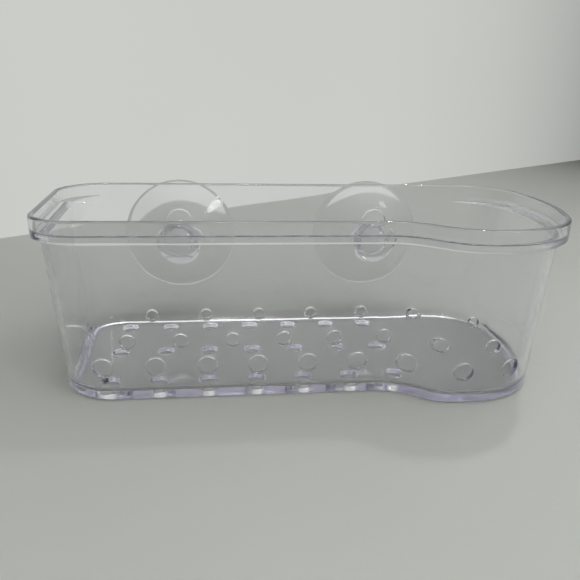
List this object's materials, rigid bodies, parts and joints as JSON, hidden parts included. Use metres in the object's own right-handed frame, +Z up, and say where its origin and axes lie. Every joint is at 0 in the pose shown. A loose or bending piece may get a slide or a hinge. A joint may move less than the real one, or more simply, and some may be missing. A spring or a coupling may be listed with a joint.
{
  "type": "suction shower caddy",
  "caption": "Clear plastic shower basket with a round bottle lobe at one end, drain holes, and soft suction cups that lock in keyholes in its back wall.",
  "frame": {"origin": "centre of the bounding box's underside, cups included, on the surface that the basket stands on", "axes": "+X along the basket towards the bottle lobe's end, +Y towards the wall that the cups hold, +Z up"},
  "size_m": [0.2528, 0.1408, 0.084],
  "materials": {
    "basket": "clear, polished, faint violet tint at thick edges",
    "suction_cup": "clear to slightly milky, soft, glossy"
  },
  "bodies": {
    "basket": {"basket": "basket"},
    "left_suction_cup": {"left_suction_cup": "suction_cup"},
    "right_suction_cup": {"right_suction_cup": "suction_cup"}
  },
  "joints": [
    {"name": "left_cup_slide", "type": "slide", "parent": "basket", "child": "left_suction_cup", "axis": [0, 0, 1], "range_m": [0, 0.0114]},
    {"name": "right_cup_slide", "type": "slide", "parent": "basket", "child": "right_suction_cup", "axis": [0, 0, 1], "range_m": [0, 0.0114]}
  ]
}
